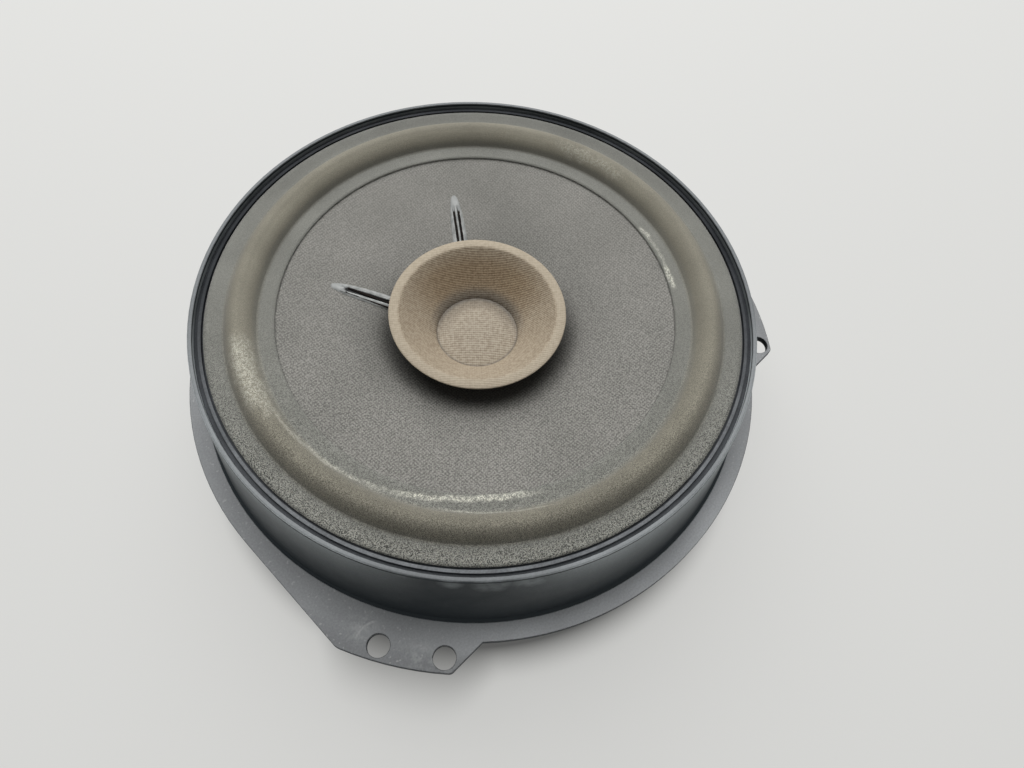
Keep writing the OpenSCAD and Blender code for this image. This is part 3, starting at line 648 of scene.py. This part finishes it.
def cone_top(radius):
    """Height of the cone's front face, in mm: it rises from neck to lip, and bows up 1 mm between them."""
    neck_radius = 12.85
    neck_height = 15.5
    width = 46.15
    rise = 14.8
    t = (radius - neck_radius) / width
    return neck_height + rise * t + 4 * t * (1 - t)


# The wall's inner face in mm, radius and height
wall_foot = (12.4, 16.42)
wall_top = (23.2, 28.42)


def straight(start, end):
    """Eleven even points of a section from one radius and height to another."""
    return [tuple(a + (b - a) * i / 10 for a, b in zip(start, end)) for i in range(11)]


def wall_run(radius):
    """Along the cap to its edge, up the wall, then across the lip."""
    width = wall_top[0] - wall_foot[0]
    slope = math.hypot(width, wall_top[1] - wall_foot[1]) / width
    return wall_foot[0] + (min(radius, wall_top[0]) - wall_foot[0]) * slope + max(0.0, radius - wall_top[0])


# The whole section: up the wall's face, over the lip, and down its back to the glued foot
lip_top = [(23.4, 28.62), (23.65, 28.78), (24.0, 28.85), (24.8, 28.8), (25.7, 28.68), (26.3, 28.55),
           (26.55, 28.43), (26.6, 28.25)]
lip_under = [(26.52, 28.05), (26.2, 27.95), (25.2, 28.05), (24.3, 28.1), (23.8, 27.95)]
wall_back = straight((23.6, 27.7), (13.85, 16.4))
foot = [(14.1, 16.3), (14.45, cone_top(14.45) + 0.05), (12.85, 15.55), (12.85, 16.35), (12.4, 16.35)]
whizzer = turned("whizzer_cloth", straight(wall_foot, wall_top) + lip_top + lip_under + wall_back + foot, 160)
thread_map(whizzer, wall_run)
whizzer.data.materials.append(cloth)
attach(whizzer, "cone_assembly")
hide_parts("whizzer_cone")

# The cap's crown is part of a ball and stands 1.8 mm above its edge
cap_radius = 12.4
cap_rise = 1.8
cap_crown = 18.3
cap_ball = (cap_radius ** 2 + cap_rise ** 2) / (2 * cap_rise)
crown = []
for i in range(15):
    radius = cap_radius * i / 14
    crown.append((radius, cap_crown - (cap_ball - math.sqrt(cap_ball ** 2 - radius ** 2))))
skirt = [(12.5, 16.46), (12.52, 16.4), (12.45, 16.36), (12.35, 16.3)]
inside = [(radius, height - 0.5) for radius, height in reversed(crown)]
cap = turned("dust_cap_cloth", crown + skirt + inside, 128)
thread_map(cap, lambda radius: radius)
cap.data.materials.append(cloth)
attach(cap, "cone_assembly")
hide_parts("dust_cap")


# Coil former and winding
# A tube of brown kraft paper, lap wound, that carries two layers of enamelled copper wire in the motor's gap.
# The wire is set in varnish.

# Kraft paper: brown, with long fibres that run up the tube
kraft, tree, shader, place = material("wound_kraft_paper")
body = mixed(tree, speckle(tree, times(tree, place, (1, 1, 0.15)), 900, detail=3), "#8a6238", "#b58a55")
fill(tree, shader, {"Base Color": body, "Roughness": 0.7})
dress(nodes["coil_former"], kraft)

# Enamelled round wire: 0.25 mm turns, drawn 0.63 mm apart so that they show
coil, tree, shader, place = material("enamelled_copper_winding")
turns = add(tree, "ShaderNodeTexWave", {"Vector": place, "Scale": band / 0.0006283, "Distortion": 0.2},
            bands_direction="Z").outputs["Fac"]
fill(tree, shader, {"Base Color": mixed(tree, turns, "#5a2413", "#c06a35"), "Metallic": 0.6,
                    "Roughness": 0.32})
grain_bump(tree, shader, turns, 0.0001, 0.9)
dress(nodes["coil_winding"], coil)


# Glue beads and coil wires
# The two coil wires on each side lie on the cone under a run of light grey solvent glue, pressed down by
# hand. It left a slot over each wire, with a ridge on either side.

# Dried solvent glue: light grey, lumpy and a little glossy, and painted near black in the slots as their
# shade
glue, tree, shader, place = material("dried_solvent_glue_grey")
lumps = add(tree, "ShaderNodeTexNoise", {"Vector": place, "Scale": 500, "Detail": 3}).outputs[0]
body = mixed(tree, spread(tree, lumps, 0.3, 0.7), "#868886", "#b2b3b1")
# The thin tip takes on the cone's grey
body = mixed(tree, spread(tree, from_axis(tree, place), 0.0415, 0.0455), body, "#8f918f")
slot_painted_shade = add(tree, "ShaderNodeAttribute", attribute_name="slot").outputs["Fac"]
body = mixed(tree, spread(tree, slot_painted_shade, 0.15, 0.6), body, "#080808")
fill(tree, shader, {"Base Color": body, "Roughness": 0.45})
grain_bump(tree, shader, lumps, 0.0002, 0.5)

# Enamelled copper: dark, and painted nearly black for the shade at the bottom of its narrow slot, with its
# ends daubed with the grey glue
wire, tree, shader, place = material("enamelled_copper_wire")
body = mixed(tree, speckle(tree, place, 400), "#0c0a09", "#1f1712")
body = mixed(tree, spread(tree, from_axis(tree, place), 0.0405, 0.0412), body, "#989a99")
fill(tree, shader, {"Base Color": body, "Roughness": 0.8, "Specular IOR Level": 0.15})

# Each bead by its turn, tip and skew, and its slots by place across, half width and depth, in degrees and mm
bead_start = 17.6
bead_half_width = 2.4
bead_height = 0.9
slot_end = 3.6
rows = 60
columns = 28
for label, degrees, tip, skew, grooves in (
        ("lead_bead_plus", 124, 45.6, -1.2, ((0.1, 0.85, 1.0), (-1.15, 0.3, 0.3))),
        ("lead_bead_minus", 56, 46.4, 0.3, ((-0.72, 0.45, 1.0), (0.72, 0.45, 1.0)))):
    turn = math.radians(degrees)
    upper = []
    slots = []
    for i in range(rows + 1):
        t = i / rows
        radius = bead_start + (tip - bead_start) * t
        half = bead_half_width * (0.12 + 0.88 * math.sqrt(max(0, 1 - (max(0, (t - 0.45) / 0.55)) ** 2)))
        # The bead was laid a little off the radius
        drift = skew * (1 - t) * 1.5
        for k in range(columns + 1):
            u = 2 * k / columns - 1
            w = half * u
            dome = bead_height * (1 - abs(u) ** 3.0) * min(1, (1 - t) * 6)
            dome *= 0.85 + 0.3 * noise.noise(Vector((radius * 0.35, w * 0.8, turn)))
            sunk = 0.0
            for middle, width, depth in grooves:
                groove = min(1, 1.8 * max(0, 1 - abs(w - middle) / width)) * depth
                groove *= min(1, max(0, (tip - slot_end - radius) / 1.5))
                dome *= 1 - groove * 0.9
                sunk = max(sunk, groove)
            slots.append(sunk)
            w += drift
            x = radius * math.cos(turn) - w * math.sin(turn)
            y = radius * math.sin(turn) + w * math.cos(turn)
            upper.append((x / 1000, y / 1000, (cone_top(math.hypot(x, y)) + 0.06 + max(0.02, dome)) / 1000))
    under = [(x, y, (cone_top(1000 * math.hypot(x, y)) + 0.05) / 1000) for x, y, z in upper]
    count = len(upper)
    faces = []
    for i in range(rows):
        for k in range(columns):
            a = i * (columns + 1) + k
            quad = [a, a + columns + 1, a + columns + 2, a + 1]
            faces.append(quad)
            faces.append([count + v for v in reversed(quad)])
    border = [i * (columns + 1) for i in range(rows + 1)]
    border += [rows * (columns + 1) + k for k in range(1, columns + 1)]
    border += [i * (columns + 1) + columns for i in range(rows - 1, -1, -1)]
    border += list(range(columns - 1, 0, -1))
    for a, b in zip(border, border[1:] + border[:1]):
        faces.append([a, b, count + b, count + a])
    bead = mesh_piece(label + "_glue", upper + under, faces, smooth=True)
    layer = bead.data.attributes.new("slot", "FLOAT", "POINT")
    layer.data.foreach_set("value", slots + [0.0] * count)
    bead.data.materials.append(glue)
    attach(bead, "cone_assembly")
    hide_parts(label)
dress(nodes["coil_tail_plus"], wire)
dress(nodes["coil_tail_minus"], wire)


# Tinsel leads
# Limp braid of copper tinsel, 1.6 mm thick. Each runs from the coil's wires, through an eyelet in the cone,
# to its terminal's lug, in a slack curve that lets the cone move.
def curve_through(route, count):
    """Points of a smooth curve through a route, count to each stretch."""
    ends = [route[0]] + route + [route[-1]]
    line = []
    for a, b, c, d in zip(ends, ends[1:], ends[2:], ends[3:]):
        for j in range(count):
            t = j / count
            line.append(0.5 * (2 * b + (c - a) * t + (2 * a - 5 * b + 4 * c - d) * t * t
                               + (3 * b - a - 3 * c + d) * t * t * t))
    return line + [route[-1]]


def tube(name, line, radius, sides):
    """A round tube along a line, with its ends closed and a UV map in metres, round and along."""
    points = []
    travel = [0.0]
    for i, point in enumerate(line):
        ahead = (line[min(i + 1, len(line) - 1)] - line[max(i - 1, 0)]).normalized()
        across = ahead.cross(Vector((1, 0, 0))).normalized()
        over = across.cross(ahead)
        for k in range(sides):
            turn = 2 * math.pi * k / sides
            points.append(point + radius * (math.cos(turn) * across + math.sin(turn) * over))
        travel.append(travel[-1] + (line[min(i + 1, len(line) - 1)] - point).length)
    faces = []
    for first in range(0, (len(line) - 1) * sides, sides):
        for k in range(sides):
            after = (k + 1) % sides
            faces.append([first + k, first + after, first + sides + after, first + sides + k])
    faces += [list(range(sides)), [(len(line) - 1) * sides + k for k in range(sides)]]
    piece = mesh_piece(name, points, faces, smooth=True)
    layer = piece.data.uv_layers.new(name="braid")
    for face in piece.data.polygons:
        wrap = {piece.data.loops[i].vertex_index % sides for i in face.loop_indices} == {0, sides - 1}
        for i in face.loop_indices:
            row, k = divmod(piece.data.loops[i].vertex_index, sides)
            layer.data[i].uv = (2 * math.pi * radius * (sides if wrap and k == 0 else k) / sides, travel[row])
    return piece


# Braided copper tinsel: flat strands that cross at 45 degrees, 0.5 mm apart, dulled to brown in the gaps
braid, tree, shader, place = material("braided_copper_tinsel")
around = add(tree, "ShaderNodeUVMap", uv_map="braid").outputs[0]
strands = []
for tilt in (math.radians(45), math.radians(-45)):
    leaning = add(tree, "ShaderNodeMapping", {"Vector": around, "Rotation": (0, 0, tilt)}).outputs[0]
    strands.append(add(tree, "ShaderNodeTexWave", {"Vector": leaning, "Scale": band / 0.0005027},
                       bands_direction="X").outputs["Fac"])
plait = maths(tree, "MAXIMUM", strands[0], strands[1])
body = mixed(tree, spread(tree, plait, 0.3, 0.95), "#5b3320", "#c98f66")
fill(tree, shader, {"Base Color": body, "Metallic": 0.85, "Roughness": 0.4})
grain_bump(tree, shader, plait, 0.0001, 0.9)

# The route's points in mm, from the eyelet in the cone, which is 0.8 mm thick, to the terminal's lug
eyelet = 39.5
for label, side in (("tinsel_lead_plus", 1), ("tinsel_lead_minus", -1)):
    turn = math.radians(90 + 34 * side)
    x = eyelet * math.cos(turn)
    y = eyelet * math.sin(turn)
    top = cone_top(eyelet) - 0.8
    end = -4.5 * side
    route = [(x, y, top - 0.1), (x, y + 0.5, top - 5), (0.9 * x, y + 5, top - 11),
             (0.62 * x, y + 12, top - 17), (end - 0.9 * side, 54.5, 5), (end, 57.5, 4.9)]
    line = curve_through([Vector(p) / 1000 for p in route], 8)
    lead = tube(label + "_braid", line, 0.0008, 14)
    lead.data.materials.append(braid)
    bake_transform(lead)
    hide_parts(label)


# Motor
# Two blanked steel plates, zinc plated, clamp a ring of sintered ferrite. The pole piece is turned steel,
# swaged into the back plate, and three steel rivets hold the hub on the top plate.

# Zinc-plated mild steel: grey with yellowish clouds, white rust, and lines 0.3 mm apart left by turning
steel, tree, shader, place = material("zinc_plated_mild_steel")
body = mixed(tree, speckle(tree, place, 55, detail=4), "#8f9294", "#b3b1a6")
body = mixed(tree, speckle(tree, place, 210, 0.58, 0.72, 0.0, 0.35, detail=5), body, "#c9c9c3")
fill(tree, shader, {"Base Color": body, "Metallic": 0.9,
                    "Roughness": speckle(tree, place, 130, low=0.28, high=0.5, detail=3)})
lines = maths(tree, "SINE", product(tree, from_axis(tree, place), 2 * math.pi / 0.0003))
grain_bump(tree, shader, lines, 0.00001, 0.35, 0.0004)
for label in ("top_plate", "back_plate", "pole_piece", "plate_rivets"):
    dress(nodes[label], steel)

# Sintered ferrite: dark grey, ground on its faces, with small chips along the edges
ferrite, tree, shader, place = material("sintered_ferrite_ground")
chips = speckle(tree, place, 900, 0.35, 0.65, detail=4)
fill(tree, shader, {"Base Color": mixed(tree, chips, "#2a2b2d", "#434548"),
                    "Roughness": speckle(tree, place, 300, low=0.45, high=0.7)})
grain_bump(tree, shader, chips, 0.00006, 0.6, 0.0005)
dress(nodes["magnet"], ferrite)


# Terminals and plug socket
# Two blanked and bent blades of tinned brass stand in a moulded socket, which is glued on the basket's panel.
# Each blade's lug takes one lead.

# Tinned brass: bright grey, with the brass showing where the tin is worn
tin, tree, shader, place = material("tinned_brass")
worn = speckle(tree, place, 600, 0.52, 0.7, detail=3)
fill(tree, shader, {"Base Color": mixed(tree, worn, "#c9c8c2", "#b3985a"), "Metallic": 0.95,
                    "Roughness": speckle(tree, place, 900, low=0.25, high=0.45)})
grain_bump(tree, shader, worn, 0.00002, 0.4, 0.0002)
dress(nodes["terminal_plus"], tin)
dress(nodes["terminal_minus"], tin)

# Moulded polyamide: near black, matt, with a fine eroded grain
socket_plastic, tree, shader, place = material("moulded_polyamide_black")
grain = add(tree, "ShaderNodeTexNoise", {"Vector": place, "Scale": 1500, "Detail": 2}).outputs[0]
body = mixed(tree, spread(tree, grain, 0.3, 0.7), "#1d1f21", "#34373a")
fill(tree, shader, {"Base Color": body, "Roughness": 0.62})
grain_bump(tree, shader, grain, 0.00005, 0.5, 0.0004)
dress(nodes["terminal_housing"], socket_plastic)
